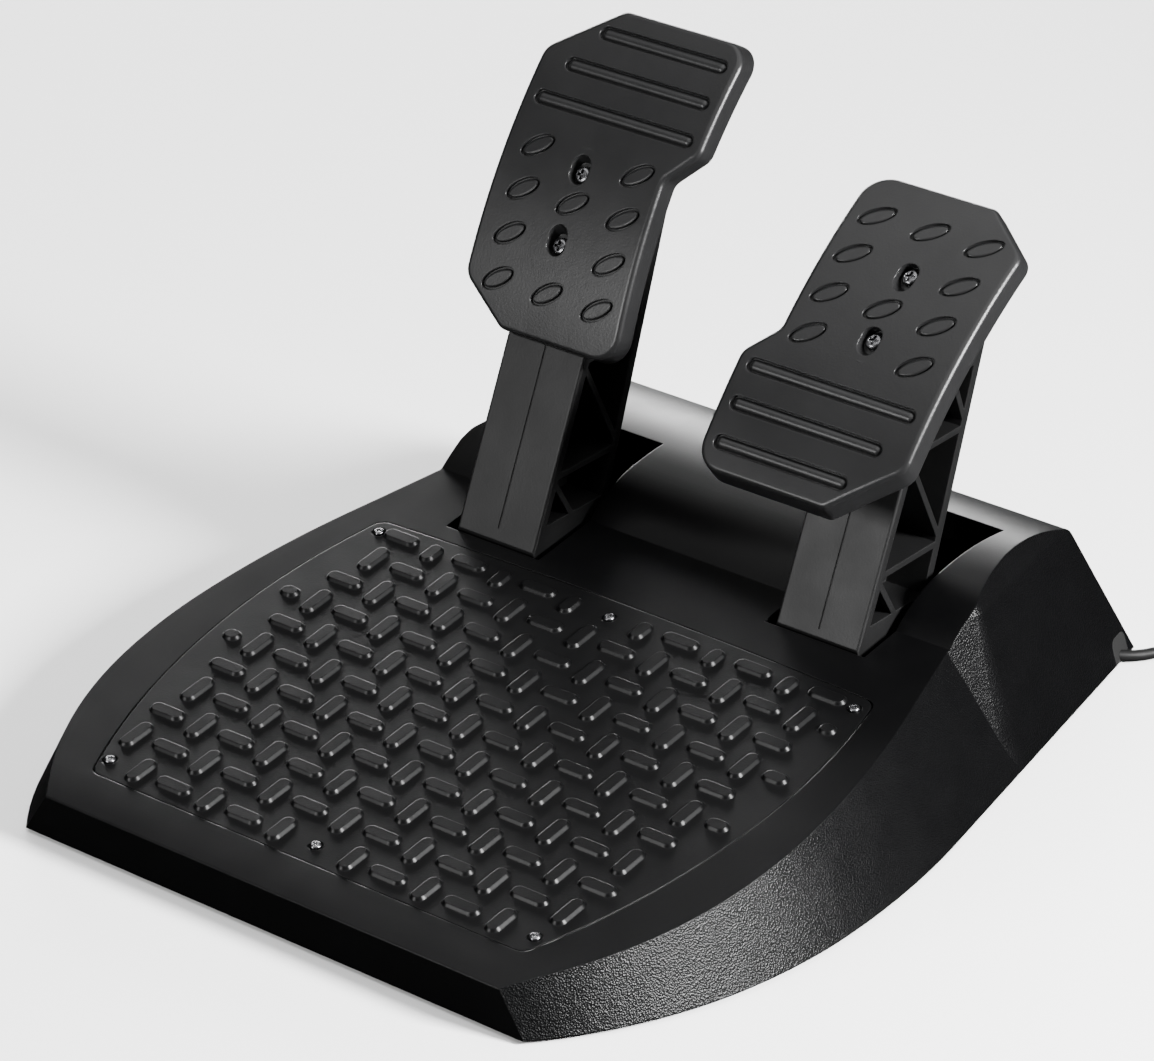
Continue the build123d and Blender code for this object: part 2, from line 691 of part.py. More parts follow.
def arm_head(pedal):
    """Wedge that carries the pad, from the pad's seat back into the beam."""
    tilt = math.radians(pedal["tilt"])
    up_face = (math.cos(tilt), math.sin(tilt))
    outward = (-math.sin(tilt), math.cos(tilt))
    y, z = pedal["seat"]
    middle = (y - outward[0] * PAD_SEAT, z - outward[1] * PAD_SEAT)
    half = HEAD_LENGTH / 2
    low = (middle[0] - up_face[0] * half, middle[1] - up_face[1] * half)
    top = (middle[0] + up_face[0] * half, middle[1] + up_face[1] * half)
    back = (top[0] - outward[0] * 20, top[1] - outward[1] * 20)
    foot_z = low[1] - 22
    front = line_y(ARM_FRONT_POINT, ARM_FRONT_ANGLE, foot_z) + pedal["shift"]
    foot = [(front + 14, foot_z), (front + ARM_EDGE, foot_z)]
    wedge = make_face(Polyline(low, top, back, *foot, close=True))
    half_width = ARM_WIDTH / 2
    return slab(pedal["x"] - half_width, pedal["x"] + half_width, wedge)


def parting_groove(pedal):
    """Thin groove down the middle of the arm's front face, where the mould parted."""
    low = (line_y(ARM_FRONT_POINT, ARM_FRONT_ANGLE, 48.0) + pedal["shift"], 48.0)
    high = (line_y(ARM_FRONT_POINT, ARM_FRONT_ANGLE, 175.0) + pedal["shift"], 175.0)
    outline = [
        (low[0] - 1, low[1]), (low[0] + PARTING_DEPTH, low[1]),
        (high[0] + PARTING_DEPTH, high[1]), (high[0] - 1, high[1]),
    ]
    half = PARTING_WIDTH / 2
    return slab(pedal["x"] - half, pedal["x"] + half, make_face(Polyline(*outline, close=True)))


def make_arm(pedal):
    y, z = pivot(pedal)
    half = ARM_WIDTH / 2
    body = arm_body(pedal)
    inner = make_face(Polyline(*arm_profile(pedal, ARM_SKIN), close=True))
    limit_low = 52.0
    limit_high = pedal["seat"][1] - 26.0
    window = Pos(60, (limit_low + limit_high) / 2) * Rectangle(200, limit_high - limit_low)
    pocket = (inner & window) - arm_ribs(pedal, limit_high)
    for sign in (-1, 1):
        a = pedal["x"] + sign * ARM_WEB / 2
        b = pedal["x"] + sign * (half + 1)
        body = body - slab(min(a, b), max(a, b), pocket)
    bore = rod(BUSH_RADIUS, (pedal["x"] - half - 1, y, z), (pedal["x"] + half + 1, y, z))
    body = body - bore - parting_groove(pedal)
    frame = pad_frame(pedal)
    for offset_y in (-SCREW_PITCH / 2, SCREW_PITCH / 2):
        body = body - frame * (Pos(0, offset_y, -PAD_SEAT - 7) * Cylinder(1.5, 16))
    spigot_base = spring_top_point(pedal)
    down = spring_direction()
    body = body - rod(8.0, spigot_base, move(spigot_base, down, SPRING_LENGTH))
    body = body + rod(9.0, move(spigot_base, down, -12), spigot_base)
    body = body + rod(4.0, spigot_base, move(spigot_base, down, 4.0))
    keep(pedal["name"] + "_arm", body)


def arm_ribs(pedal, top):
    """Level and slanting ribs of the arm's side pockets, in (y, z)."""
    ribs = Sketch()
    z = RIB_FIRST
    while z < top + RIB_STEP:
        front = line_y(ARM_FRONT_POINT, ARM_FRONT_ANGLE, z) + pedal["shift"]
        rear = line_y(ARM_REAR_POINT, ARM_REAR_ANGLE, z) + pedal["shift"]
        ribs += Pos((front + rear) / 2, z) * Rectangle(rear - front + 4, RIB_THICK)
        low_z = z - RIB_STEP
        low_rear = line_y(ARM_REAR_POINT, ARM_REAR_ANGLE, low_z) + pedal["shift"]
        length = math.hypot(low_rear - front, RIB_STEP)
        angle = math.degrees(math.atan2(RIB_STEP, front - low_rear))
        middle = ((front + low_rear) / 2, (z + low_z) / 2)
        ribs += Pos(*middle) * Rot(0, 0, angle) * Rectangle(length, RIB_THICK)
        z += RIB_STEP
    return ribs


def make_bushes(pedal):
    y, z = pivot(pedal)
    bushes = []
    for sign in (-1, 1):
        outer = pedal["x"] + sign * ARM_WIDTH / 2
        tube = rod(BUSH_RADIUS, (outer - sign * 9, y, z), (outer, y, z))
        collar = (6.6, 5.0) if sign == pedal["inner"] else (8.5, 0.8)
        tube = tube + rod(collar[0], (outer, y, z), (outer + sign * collar[1], y, z))
        bore = rod(AXLE_RADIUS + RUNNING_GAP, (outer - 20, y, z), (outer + 20, y, z))
        bushes.append(tube - bore)
    keep(pedal["name"] + "_bushes", Compound(children=bushes))
    towers = bearing_x(pedal)
    ends = [v for pair in towers for v in pair]
    axle = rod(AXLE_RADIUS, (min(ends) - 1.5, y, z), (max(ends) + 1.5, y, z))
    axle = chamfer(axle.edges().filter_by(GeomType.CIRCLE), 0.6)
    keep(pedal["name"] + "_axle", axle)


# ---- sensor gears -------------------------------------------------------------------------
def tooth_outline(teeth, first, last):
    """(y, z) points round gear teeth number first to last-1, centred on the origin."""
    pitch_radius = teeth * GEAR_MODULE / 2
    tip = pitch_radius + GEAR_MODULE * 0.85
    root = pitch_radius - GEAR_MODULE * 1.25
    low = pitch_radius - GEAR_MODULE * 0.6
    flank = [(low, 0.32), (pitch_radius, TOOTH_HALF), (tip, 0.09)]
    points = []
    for k in range(first, last):
        points.append((root, k - 0.5))
        points += [(radius, k - half) for radius, half in flank]
        points += [(radius, k + half) for radius, half in reversed(flank)]
    pitch = 2 * math.pi / teeth
    return [(r * math.cos(a * pitch), r * math.sin(a * pitch)) for r, a in points]


def sensor_centre(pedal):
    """Axis of the pinion: level with the pivot and in front of it."""
    y, z = pivot(pedal)
    return (y - (SECTOR_TEETH + PINION_TEETH) * GEAR_MODULE / 2 - 0.05, z)


def sensor_point(pedal, distance):
    """A point on the pinion's axis, at a distance inwards from the arm's middle."""
    y, z = sensor_centre(pedal)
    return (pedal["x"] + pedal["inner"] * distance, y, z)


def sector_x(pedal):
    near = pedal["x"] + pedal["inner"] * ARM_WIDTH / 2
    far = near + pedal["inner"] * SECTOR_THICK
    return (min(near, far), max(near, far))


def make_sector(pedal):
    y, z = pivot(pedal)
    x0, x1 = sector_x(pedal)
    first = SECTOR_TEETH // 2 - 2
    last = SECTOR_TEETH // 2 + 6
    outline = tooth_outline(SECTOR_TEETH, first, last) + [(0, 0)]
    sector = slab(x0, x1, make_face(Polyline(*outline, close=True)))
    sector = sector + rod(11.0, (x0, 0, 0), (x1, 0, 0))
    sector = sector - rod(7.0, (x0 - 1, 0, 0), (x1 + 1, 0, 0))
    way = pedal["inner"]
    face = x1 if way > 0 else x0
    seat = face - way * 1.2
    screw = pan_screw(1.9, 1.1, 1.1, 9.0)
    screws = []
    arm = nodes[pedal["name"] + "_arm"]
    for dy, dz in ((-9.0, 2.0), (-7.8, -5.4)):
        sector = sector - rod(1.15, (x0 - 1, dy, dz), (x1 + 1, dy, dz))
        sector = sector - rod(2.2, (seat, dy, dz), (face + way, dy, dz))
        place = Plane(origin=(seat, y + dy, z + dz), x_dir=(0, 1, 0), z_dir=(way, 0, 0))
        screws.append(place * screw)
        arm = arm - rod(1.1, (seat, y + dy, z + dz), (seat - way * 10, y + dy, z + dz))
    keep(pedal["name"] + "_arm", arm)
    keep(pedal["name"] + "_gear_sector", Pos(0, y, z) * sector)
    keep(pedal["name"] + "_sector_screws", Compound(children=screws))


def make_sensor(pedal):
    y, z = sensor_centre(pedal)
    x0, x1 = sector_x(pedal)
    way = pedal["inner"]
    outline = tooth_outline(PINION_TEETH, 0, PINION_TEETH)
    turn = 180.0 / PINION_TEETH
    face = Rot(0, 0, turn) * make_face(Polyline(*outline, close=True))
    pinion = slab(x0 + 0.3, x1 - 0.3, face)
    pinion = pinion - rod(3.0, (x0 - 1, 0, 0), (x1 + 1, 0, 0))
    keep(pedal["name"] + "_sensor_pinion", Pos(0, y, z) * pinion)
    shaft = rod(3.0, sensor_point(pedal, ARM_WIDTH / 2 + 0.2), sensor_point(pedal, 33.5))
    keep(pedal["name"] + "_sensor_shaft", shaft)
    body = rod(8.3, sensor_point(pedal, 29.6), sensor_point(pedal, 36.6))
    body = body + rod(3.5, sensor_point(pedal, 24.2), sensor_point(pedal, 29.6))
    body = body - rod(3.0 + RUNNING_GAP, sensor_point(pedal, 20), sensor_point(pedal, 33.6))
    lug_x = pedal["x"] + way * 33.0
    for step in (-1, 0, 1):
        lug_y = y + 5 * step
        body = body + block((lug_x - 0.4, lug_x + 0.4), (lug_y - 1, lug_y + 1), (z - 11.5, z - 6.5))
    keep(pedal["name"] + "_potentiometer", body)


def potentiometer_nut(pedal):
    place = Plane(origin=sensor_point(pedal, 24.8), z_dir=(pedal["inner"], 0, 0))
    return place * extrude(RegularPolygon(5.0, 6) - Circle(3.5), amount=1.8)


def sensor_wall(pedal):
    """Upright wall that the potentiometer is fixed to."""
    a = pedal["x"] + pedal["inner"] * 26.7
    b = pedal["x"] + pedal["inner"] * 29.5
    y, z = sensor_centre(pedal)
    return block((min(a, b), max(a, b)), (y - 9, y + 9), (COVER_TOP - 0.5, z + 10))


# ---- pads ---------------------------------------------------------------------------------
def along(s):
    """Height in the pad's frame of a point at arc length s from the middle of the seat."""
    return PAD_CURVE * math.sin(s / PAD_CURVE)


def pad_outline():
    points = [
        (-9.4, 70.8), (-33.4, 50.8), (-33.9, -31.0), (-14.7, -45.5), (34.6, -45.5),
        (33.2, 18.6), (43.1, 29.8), (43.4, 70.8),
    ]
    radii = [5.0, 7.0, 7.0, 5.0, 10.0, 5.0, 6.0, 9.0]
    face = make_face(Polyline(*[(u, along(s)) for u, s in points], close=True))
    for (u, s), radius in zip(points, radii):
        corner = face.vertices().sort_by_distance(Vector(u, along(s)))[0]
        face = fillet(corner, radius)
    return face


def curved(depth):
    """A cylinder, its axis across the pad, whose top lies depth below the pad's face."""
    radius = PAD_CURVE - depth
    return Pos(0, 0, -PAD_CURVE) * Rot(0, 90, 0) * Cylinder(radius, 140)


def pad_envelope(frame, clearance):
    """The room that a pad takes, skirt included, grown by the clearance."""
    grown = extrude(Pos(0, 0, -60) * offset(pad_outline(), clearance), amount=90)
    return frame * (grown - curved(PAD_DEPTH + clearance))


def on_pad(u, s):
    """Place of a feature that stands upright on the pad's curved face at (u, s)."""
    turn = -math.degrees(s / PAD_CURVE)
    return Pos(0, 0, -PAD_CURVE) * Rot(turn, 0, 0) * Pos(u, 0, PAD_CURVE)


def oval_centres():
    rows = [4.4, -11.0, -26.7, -42.6]
    columns = (-23.9, -2.6, 18.7)
    outer = [(column, s) for column in (columns[0], columns[2]) for s in rows]
    middle = [(columns[1], rows[1]), (columns[1], rows[3])]
    return [(u + PAD_MOVE[0], s + PAD_MOVE[1]) for u, s in outer + middle]


def oval_cutter():
    """Oval groove that leaves a raised island with a rounded edge in its middle."""
    groove = extrude(Ellipse(*OVAL), amount=PAD_GROOVE + 2.0)
    island = extrude(Ellipse(*OVAL_ISLAND), amount=PAD_GROOVE - 0.2)
    island = fillet(island.edges().sort_by(Axis.Z)[-1], 0.6)
    return Pos(0, 0, -PAD_GROOVE) * Rot(0, 0, OVAL_TURN) * (groove - island)


def bar_cutter(length):
    """Long groove that leaves a half-round ridge along its middle."""
    half = length / 2
    groove = Pos(0, 0, -PAD_GROOVE) * extrude(
        SlotCenterToCenter(length, BAR_WIDTH), amount=PAD_GROOVE + 2.0
    )
    ridge = rod(RIDGE_RADIUS, (-half, 0, 0), (half, 0, 0))
    for end in (-half, half):
        ridge = ridge + Pos(end, 0, 0) * Sphere(RIDGE_RADIUS)
    return groove - Pos(0, 0, -RIDGE_RADIUS) * ridge


def screw_well(s):
    """Round well down to the screw head, with a leaning mouth that opens up the pad."""
    seat = (0, s, -WELL_FLOOR)
    straight = rod(WELL_RADIUS, seat, (0, s, 3))
    leaning = rod(WELL_RADIUS, move(seat, WELL_LEAN, -1.0), move(seat, WELL_LEAN, 1.5))
    above = block((-15, 15), (s - 15, s + 15), (-WELL_FLOOR, 10))
    return (straight + leaning) & above


def make_pad(pedal):
    prism = extrude(Pos(0, 0, -30) * pad_outline(), amount=60)
    pad = (prism & curved(0)) - curved(PAD_DEPTH)
    rim = [edge for edge in pad.edges() if on_face(edge)]
    pad = fillet(rim, PAD_RIM)
    inner = extrude(Pos(0, 0, -30) * offset(pad_outline(), -2.6), amount=60)
    pad = pad - (inner & curved(PAD_FACE))
    bosses = []
    cuts = []
    for u0, u1, s in PAD_BARS:
        place = on_pad((u0 + u1) / 2 + PAD_MOVE[0], s + PAD_MOVE[1])
        cuts.append(place * bar_cutter(u1 - u0))
    for u, s in oval_centres():
        cuts.append(on_pad(u, s) * oval_cutter())
    for s in (-SCREW_PITCH / 2, SCREW_PITCH / 2):
        boss = slot_prism((0, s), (0, s + 3.0), 12.5, PAD_SEAT - 1.0, 0)
        bosses.append(Pos(0, 0, -PAD_SEAT) * boss)
        cuts.append(screw_well(s))
        cuts.append(pillar(0, s, -12, 0, 1.8))
    for u in (-25.0, 25.0):
        rib = block((u - 0.8, u + 0.8), (-40, 40), (-PAD_DEPTH / 2 - 5, -PAD_DEPTH / 2 + 5))
        bosses.append((rib & inner & curved(PAD_FACE - 0.5)) - curved(PAD_DEPTH - 1.5))
    frame = pad_frame(pedal)
    keep(pedal["name"] + "_pad", frame * (pad + bosses - cuts))
    screw = pan_screw(3.0, 2.2, 1.5, 14.0)
    placed = [Pos(0, s, -WELL_FLOOR) * screw for s in (-SCREW_PITCH / 2, SCREW_PITCH / 2)]
    keep(pedal["name"] + "_pad_screws", frame * Compound(children=placed))


def on_face(edge):
    """True for an edge that lies on the pad's curved front."""
    middle = edge @ 0.5
    distance = math.hypot(middle.Y, middle.Z + PAD_CURVE)
    ends = [math.hypot((edge @ t).Y, (edge @ t).Z + PAD_CURVE) for t in (0.0, 1.0)]
    return all(abs(d - PAD_CURVE) < 0.01 for d in ends + [distance])


# ---- electrics ----------------------------------------------------------------------------
def make_board():
    x, y = BOARD_CENTRE
    board = block((x - 25, x + 25), (y - 19, y + 19), (BOARD_LOW, BOARD_LOW + 1.6))
    screw = pan_screw(2.0, 1.2, 1.0, 6.5)
    for px, py in BOARD_POSTS:
        board = board - pillar(px, py, BOARD_LOW - 3, BOARD_LOW + 3, 1.3)
    keep("circuit_board", board)
    placed = [Pos(px, py, BOARD_LOW + 1.6) * screw for px, py in BOARD_POSTS]
    keep("board_screws", Compound(children=placed))
    height = (BOARD_LOW + 1.6, BOARD_LOW + 7)
    headers = [block((c - 4, c + 4), (y - 3, y + 3), height) for c in (x - 14, x, x + 14)]
    keep("board_connectors", Compound(children=headers))


def bent_tube(points, radius):
    """A tube along straight runs joined by arcs as large as the runs allow."""
    corners = [Vector(*p) for p in points]
    radii = []
    for a, b, c in zip(corners, corners[1:], corners[2:]):
        half_turn = math.radians((b - a).get_angle(c - b) / 2)
        shorter = min((b - a).length, (c - b).length)
        radii.append(0.45 * shorter / math.tan(half_turn))
    path = FilletPolyline(*corners, radius=radii)
    start = Plane(origin=corners[0], z_dir=corners[1] - corners[0])
    tube = sweep(start * Circle(radius), path=path)
    expected = math.pi * radius**2 * path.length
    print("radii", [round(r, 1) for r in radii], "length", round(path.length, 1))
    print("volume over section x length", round(tube.volume / expected, 4))
    return tube


def make_leads():
    """Bundles of wires from the potentiometers to the board."""
    high = BOARD_LOW + 4.2
    for pedal in PEDALS:
        way = pedal["inner"]
        y, z = sensor_centre(pedal)
        x = pedal["x"] + way * 33.4
        column = -14 * way
        points = [
            (x, y, z - 10.5), (x + way * 8.6, y + 5, 9.0), (column - way * 3, y + 18, 9.0),
            (column + way, y + 32, 10.5), (column - way * 0.3, y + 47, high),
            (column, BOARD_CENTRE[1] - 3, high),
        ]
        keep(pedal["name"] + "_sensor_leads", bent_tube(points, 1.2))


def make_cables():
    outside = bent_tube(CABLE_ROUTE, CABLE_RADIUS)
    keep("signal_cable", outside)
    keep("inner_cable", bent_tube(INNER_ROUTE, CABLE_RADIUS))
    keep("cable_tail", bent_tube(TAIL_ROUTE, CABLE_RADIUS))
    keep("cable_grommet", nodes["cable_grommet"] - outside - nodes["inner_cable"])
    x, y = COIL_CENTRE
    top = TIE_THICK + COIL_HEIGHT
    outer = pillar(x, y, TIE_THICK, top, COIL_MIDDLE + COIL_ACROSS / 2)
    keep("cable_coil", outer - pillar(x, y, TIE_THICK, top, COIL_MIDDLE - COIL_ACROSS / 2))
    near = y - COIL_MIDDLE - COIL_ACROSS / 2 - 0.6
    far = y - COIL_MIDDLE + COIL_ACROSS / 2 + 0.6
    hole = block((x - 9, x + 9), (near, far), (TIE_THICK, top))
    tie = block((x - 3, x + 3), (near - TIE_THICK, far + TIE_THICK), (0, top + TIE_THICK))
    keep("cable_tie", tie - hole)


def make_plug():
    """Small modular plug: clear body, contact end, latch and a short boot."""
    x, y, z = TAIL_ROUTE[-1]
    body = block((x - 5.8, x + 5.8), (y - 25, y - 6), (0, 6.6))
    body = chamfer(body.edges().filter_by(Axis.Z), 0.6)
    for k in range(6):
        groove = x - 3.2 + 1.27 * k
        body = body - block((groove - 0.35, groove + 0.35), (y - 26, y - 17), (5.8, 8))
    side = [(y - 24, 6.4), (y - 10, 9.4), (y - 9, 9.4), (y - 9, 8.6), (y - 21, 6.4)]
    latch = slab(x - 1.6, x + 1.6, make_face(Polyline(*side, close=True)))
    keep("cable_plug", body + latch)
    back = Plane(origin=(x, y - 6, z), x_dir=(1, 0, 0), z_dir=(0, 1, 0))
    boot = extrude(back * Rectangle(9, 6), amount=14, taper=6)
    keep("plug_boot", boot - nodes["cable_tail"])


def make_clamp():
    x, y0 = CLAMP_SCREWS[0]
    y1 = CLAMP_SCREWS[1][1]
    bar = block((x - 4, x + 4), (y0 - 3.2, y1 + 3.2), (COVER_TOP + 3, COVER_TOP + 5.6))
    bar = bar - nodes["inner_cable"]
    screw = pan_screw(2.0, 1.2, 1.0, 6.0)
    for px, py in CLAMP_SCREWS:
        bar = bar - pillar(px, py, COVER_TOP + 1, COVER_TOP + 7, 1.1)
    keep("cable_clamp", bar)
    screws = [Pos(px, py, COVER_TOP + 5.6) * screw for px, py in CLAMP_SCREWS]
    keep("cable_clamp_screws", Compound(children=screws))
    saddle = block((x - 4, x + 4), (y0 + 3.6, y1 - 3.6), (COVER_TOP - 0.5, COVER_TOP + 2.2))
    keep("bottom_cover", (nodes["bottom_cover"] + saddle) - nodes["inner_cable"])


def build():
    make_top_housing()
    make_bottom_cover()
    make_tread_plate()
    make_plate_screws()
    make_housing_screws()
    make_feet()
    make_bearing_caps()
    make_springs()
    for pedal in PEDALS:
        make_arm(pedal)
        make_bushes(pedal)
        make_sector(pedal)
        make_pad(pedal)
        make_sensor(pedal)
    nuts = [potentiometer_nut(pedal) for pedal in PEDALS]
    keep("potentiometer_nuts", Compound(children=nuts))
    make_board()
    make_leads()
    make_cables()
    make_plug()
    make_clamp()


def write():
    os.makedirs("parts", exist_ok=True)
    for name, shape in nodes.items():
        export_step(shape, "parts/" + name + ".step")


build()
write()
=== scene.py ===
import json
import math

import bpy
import bmesh
from mathutils import Matrix, Vector


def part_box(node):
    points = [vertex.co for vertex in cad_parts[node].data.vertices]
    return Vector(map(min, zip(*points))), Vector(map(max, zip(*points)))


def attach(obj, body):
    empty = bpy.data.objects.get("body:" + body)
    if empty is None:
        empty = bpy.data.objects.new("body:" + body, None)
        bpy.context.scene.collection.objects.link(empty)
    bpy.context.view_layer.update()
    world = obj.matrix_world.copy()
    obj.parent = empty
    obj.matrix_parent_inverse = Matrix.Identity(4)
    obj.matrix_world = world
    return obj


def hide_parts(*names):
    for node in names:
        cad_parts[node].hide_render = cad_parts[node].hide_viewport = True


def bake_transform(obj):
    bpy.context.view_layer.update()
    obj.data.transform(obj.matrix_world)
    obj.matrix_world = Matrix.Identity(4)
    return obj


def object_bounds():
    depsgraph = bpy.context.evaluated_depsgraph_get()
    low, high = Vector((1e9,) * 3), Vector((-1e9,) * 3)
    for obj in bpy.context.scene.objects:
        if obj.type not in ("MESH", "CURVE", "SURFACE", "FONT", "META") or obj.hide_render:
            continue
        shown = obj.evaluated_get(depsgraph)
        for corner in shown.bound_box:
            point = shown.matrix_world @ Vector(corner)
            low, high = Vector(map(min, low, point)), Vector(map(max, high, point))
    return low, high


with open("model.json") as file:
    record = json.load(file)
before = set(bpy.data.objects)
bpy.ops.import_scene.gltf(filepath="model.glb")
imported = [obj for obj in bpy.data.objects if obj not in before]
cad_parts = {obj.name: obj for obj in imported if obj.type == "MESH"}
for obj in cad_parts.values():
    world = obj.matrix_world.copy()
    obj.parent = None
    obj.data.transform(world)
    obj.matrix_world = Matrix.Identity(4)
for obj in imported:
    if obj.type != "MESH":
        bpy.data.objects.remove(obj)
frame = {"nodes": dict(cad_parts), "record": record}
cad_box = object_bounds()

MM = 0.001

# ---- view and light -----------------------------------------------------------------------
LOOK_AT = (42.9, -62.6, 115.5)  # mm
CAMERA_DISTANCE = 1725.0
CAMERA_AZIMUTH = 38.652
CAMERA_ELEVATION = 26.811
CAMERA_ROLL = 0.07
CAMERA_LENS = 172.54

# name, azimuth from the front towards +X, elevation, distance, (width, height), power
LIGHTS = [
    ("overhead", 0, 88, 2.6, (3.4, 3.4), 110),
    ("right", 97, 27, 1.3, (0.3, 0.3), 125),
    ("front_left", -22, 16, 1.8, (0.5, 0.5), 30),
    ("behind_low", 224, 12, 2.0, (1.2, 0.35), 40),
]
LIGHT_AIM = (0, 0, 0.08)
WORLD_STRENGTH = 0.02
FLOOR_COLOR = (0.86, 0.86, 0.86)
FLOOR_SIZE = 6

# ---- finishes -----------------------------------------------------------------------------
BLACK_SCREWS = ("tread_plate_screws", "brake_pad_screws", "accelerator_pad_screws")
EDGE_ROUNDING = 0.0006  # how far the shading rounds sharp moulded edges off, in metres

# Specular levels of the black plastics, whose faces look nearly black away from the lights.
DULL = 0.11
ARM_SATIN = 0.19
PAD_SATIN = 0.24

# The housing's grain comes in as its faces turn to the side: this much of the normal is along X.
GRAIN_BEGINS = 0.45
GRAIN_FULL = 0.7

# ---- cable, in mm -------------------------------------------------------------------------
CABLE_DIAMETER = 4.0
CABLE_ROUTE = [
    (101.6, 149.7, 3.2), (111.0, 156.6, 2.2), (116.3, 167.4, 2.0), (125.2, 176.9, 2.0),
    (131.3, 190.6, 2.1), (132.3, 204.6, 2.8),
]
TAIL_ROUTE = [
    (189.6, 213.6, 14.2), (195.4, 203.0, 9.6), (196.0, 191.5, 4.8), (194.6, 181.5, 3.4),
]
# Height of each layer of the coil, and the radii of its turns in winding order.
COIL_LAYERS = [
    (2.8, (28.5, 24.5, 20.5, 16.5)),
    (6.8, (16.5, 20.5, 24.5, 28.5)),
    (10.8, (28.5, 24.5)),
    (14.8, (28.5,)),
]
COIL_TURNS = 10.38
COIL_STEPS = 16  # points in one turn
SHIFT_END = 0.25  # share of a turn over which the cable moves to its ring
CLIMB_START = 0.78  # from here on, past the tie, it climbs to the next layer


# ---- node helpers -------------------------------------------------------------------------
def new_material(name, color, roughness, specular=0.5):
    material = bpy.data.materials.new(name)
    material.use_nodes = True
    shader = material.node_tree.nodes["Principled BSDF"]
    shader.inputs["Base Color"].default_value = (*color, 1)
    shader.inputs["Roughness"].default_value = roughness
    shader.inputs["Specular IOR Level"].default_value = specular
    return material, shader


def add(material, kind, **settings):
    """A node with its properties and inputs set by name."""
    node = material.node_tree.nodes.new(kind)
    for key, value in settings.items():
        if hasattr(node, key):
            setattr(node, key, value)
        else:
            node.inputs[key.replace("_", " ")].default_value = value
    return node


def link(material, start, end):
    material.node_tree.links.new(start, end)


def bump_chain(material, shader, layers):
    """Bump nodes one after another: (height socket, strength, distance in metres)."""
    normal = add(material, "ShaderNodeBevel", Radius=EDGE_ROUNDING).outputs["Normal"]
    for height, strength, distance in layers:
        bump = add(material, "ShaderNodeBump", Strength=strength, Distance=distance)
        link(material, height, bump.inputs["Height"])
        link(material, normal, bump.inputs["Normal"])
        normal = bump.outputs["Normal"]
    link(material, normal, shader.inputs["Normal"])


def coordinates(material):
    return add(material, "ShaderNodeTexCoord").outputs["Object"]


def noise(material, scale, detail=3.0):
    node = add(material, "ShaderNodeTexNoise", Scale=scale, Detail=detail)
    link(material, coordinates(material), node.inputs["Vector"])
    return node.outputs["Fac"]


def ramp(material, source, low, high, start, end):
    """Maps the source from low..high to start..end."""
    node = add(material, "ShaderNodeMapRange")
    for key, value in (("From Min", low), ("From Max", high), ("To Min", start), ("To Max", end)):
        node.inputs[key].default_value = value
    link(material, source, node.inputs["Value"])
    return node.outputs["Result"]


def vary_color(material, shader, color, scale, share):
    """Colour that drifts a little lighter and darker over the surface."""
    blend = add(material, "ShaderNodeMix", data_type="RGBA")
    blend.inputs["A"].default_value = (*[c * (1 - share) for c in color], 1)
    blend.inputs["B"].default_value = (*[c * (1 + share) for c in color], 1)
    link(material, noise(material, scale), blend.inputs["Factor"])
    link(material, blend.outputs["Result"], shader.inputs["Base Color"])


def vary_sheen(material, shader, scale, detail, low, high):
    """Roughness that drifts between low and high over the surface."""
    sheen = ramp(material, noise(material, scale, detail), 0.3, 0.7, low, high)
    link(material, sheen, shader.inputs["Roughness"])


# ---- materials ----------------------------------------------------------------------------
def plastic(name, color, roughness, specular, grain_scale, grain_depth):
    """Moulded plastic: fine spark-eroded texture, uneven sheen, slight colour drift."""
    spread = 0.03
    material, shader = new_material(name, color, roughness, specular)
    vary_color(material, shader, color, 45, 0.25)
    vary_sheen(material, shader, 60, 4, roughness - spread, roughness + spread)
    fine = noise(material, grain_scale, 2)
    broad = noise(material, 120, 2)
    bump_chain(material, shader, [(broad, 0.15, 0.0003), (fine, 0.5, grain_depth)])
    return material


def grained_plastic():
    """The housing: satin on the deck, leather-like pebble grain on the sloping sides."""
    color = (0.0011, 0.0011, 0.0012)
    material, shader = new_material("housing_black", color, 0.34, DULL)
    vary_color(material, shader, color, 60, 0.2)
    normal = add(material, "ShaderNodeNewGeometry").outputs["Normal"]
    split = add(material, "ShaderNodeSeparateXYZ")
    link(material, normal, split.inputs["Vector"])
    steep = add(material, "ShaderNodeMath", operation="ABSOLUTE")
    link(material, split.outputs["X"], steep.inputs[0])
    side = ramp(material, steep.outputs[0], GRAIN_BEGINS, GRAIN_FULL, 0.0, 1.0)
    cells = add(material, "ShaderNodeTexVoronoi", feature="F1", Scale=1700.0)
    link(material, coordinates(material), cells.inputs["Vector"])
    pebble = add(material, "ShaderNodeMath", operation="MULTIPLY")
    link(material, cells.outputs["Distance"], pebble.inputs[0])
    link(material, side, pebble.inputs[1])
    fine = noise(material, 1500, 2)
    vary_sheen(material, shader, 90, 4, 0.3, 0.34)
    bump_chain(material, shader, [(fine, 0.25, 0.00006), (pebble.outputs[0], 0.9, 0.00016)])
    return material


def rubber(name, color):
    material, shader = new_material(name, color, 0.75, DULL)
    vary_color(material, shader, color, 80, 0.3)
    bump_chain(material, shader, [(noise(material, 900, 3), 0.4, 0.0001)])
    return material


def cable_jacket():
    color = (0.004, 0.004, 0.004)
    material, shader = new_material("cable_black", color, 0.48, DULL)
    vary_color(material, shader, color, 90, 0.3)
    vary_sheen(material, shader, 200, 3, 0.4, 0.55)
    bump_chain(material, shader, [(noise(material, 700, 2), 0.2, 0.00008)])
    return material


